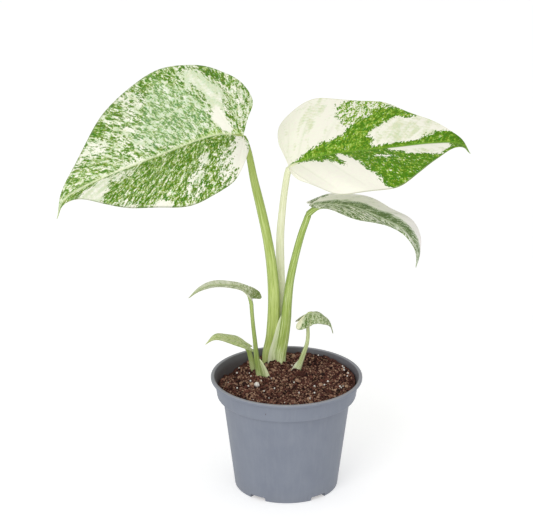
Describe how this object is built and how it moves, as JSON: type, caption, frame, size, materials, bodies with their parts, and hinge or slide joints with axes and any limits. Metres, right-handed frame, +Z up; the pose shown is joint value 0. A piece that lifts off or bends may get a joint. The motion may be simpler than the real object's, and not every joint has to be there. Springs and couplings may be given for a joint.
{
  "type": "potted monstera plant",
  "caption": "Young variegated monstera with broad heart-shaped cream and green leaves on long stalks, and small side shoots, in a round grey nursery pot of soil.",
  "frame": {"origin": "centre of the pot's underside, on the surface that the pot stands on", "axes": "+Z up, +X to the right and -Y towards the front, with the large left leaf towards -X and the upper right leaf towards +X"},
  "size_m": [0.3201, 0.1438, 0.3335],
  "materials": {
    "pot_plastic": "satin",
    "soil": "matte",
    "stem_bark": "matte",
    "petiole_green": "satin",
    "petiole_cream": "satin",
    "shoot_green": "satin",
    "leaf_mottled": "satin",
    "leaf_cream": "satin",
    "leaf_dark": "satin",
    "leaf_young": "satin"
  },
  "bodies": {
    "root": {"pot": "pot_plastic", "left_petiole": "petiole_green", "right_petiole": "petiole_green", "upper_petiole": "petiole_cream", "tall_shoot_petiole": "shoot_green", "short_shoot_petiole": "shoot_green", "right_shoot_petiole": "shoot_green", "left_blade": "leaf_mottled", "upper_blade": "leaf_cream", "right_blade": "leaf_dark", "tall_shoot_blade": "leaf_young", "short_shoot_blade": "leaf_young", "right_shoot_blade": "leaf_young", "main_stem": "stem_bark", "soil": "soil"}
  },
  "joints": []
}
